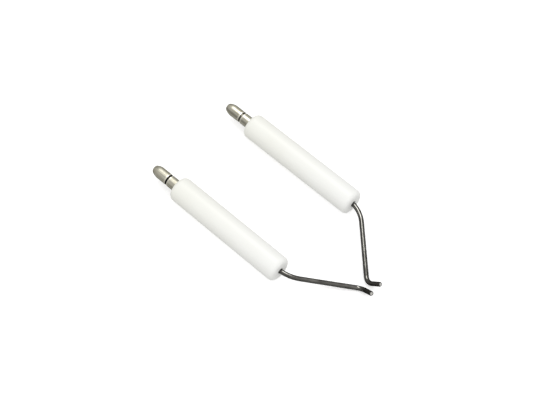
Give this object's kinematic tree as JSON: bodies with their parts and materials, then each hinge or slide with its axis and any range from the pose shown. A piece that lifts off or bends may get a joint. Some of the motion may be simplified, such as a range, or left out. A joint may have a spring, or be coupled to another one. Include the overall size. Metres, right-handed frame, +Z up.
{
  "type": "ignition electrode pair",
  "caption": "Mirrored pair of oil-burner ignition electrodes: white glazed ceramic tubes with grooved plug-on terminals and bent steel rods whose tips face each other across a spark gap.",
  "frame": {"origin": "on the flat surface that the pair lies on, under the middle of its bounding box", "axes": "+X along both insulators from the terminals towards the rod tips, +Y towards the left electrode (left as seen from the terminal end, looking along the rods), +Z up"},
  "size_m": [0.1322, 0.069, 0.014],
  "materials": {
    "ceramic_glaze": "white glazed alumina porcelain",
    "nickel_plate": "bright nickel plate on turned steel, fine lengthwise drawing marks",
    "rod_steel": "dark oxidised heat-resistant steel wire, blackened at the tip",
    "cement": "matt grey-white ceramic cement"
  },
  "bodies": {
    "left_electrode": {"left_insulator": "ceramic_glaze", "left_rod": "rod_steel", "left_terminal": "nickel_plate", "left_terminal_cement": "cement", "left_rod_cement": "cement"},
    "right_electrode": {"right_insulator": "ceramic_glaze", "right_rod": "rod_steel", "right_terminal": "nickel_plate", "right_terminal_cement": "cement", "right_rod_cement": "cement"}
  },
  "joints": [
    {"name": "right_electrode_slide", "type": "slide", "parent": "left_electrode", "child": "right_electrode", "axis": [1, 0, 0], "range_m": [-0.015, 0.015]}
  ]
}
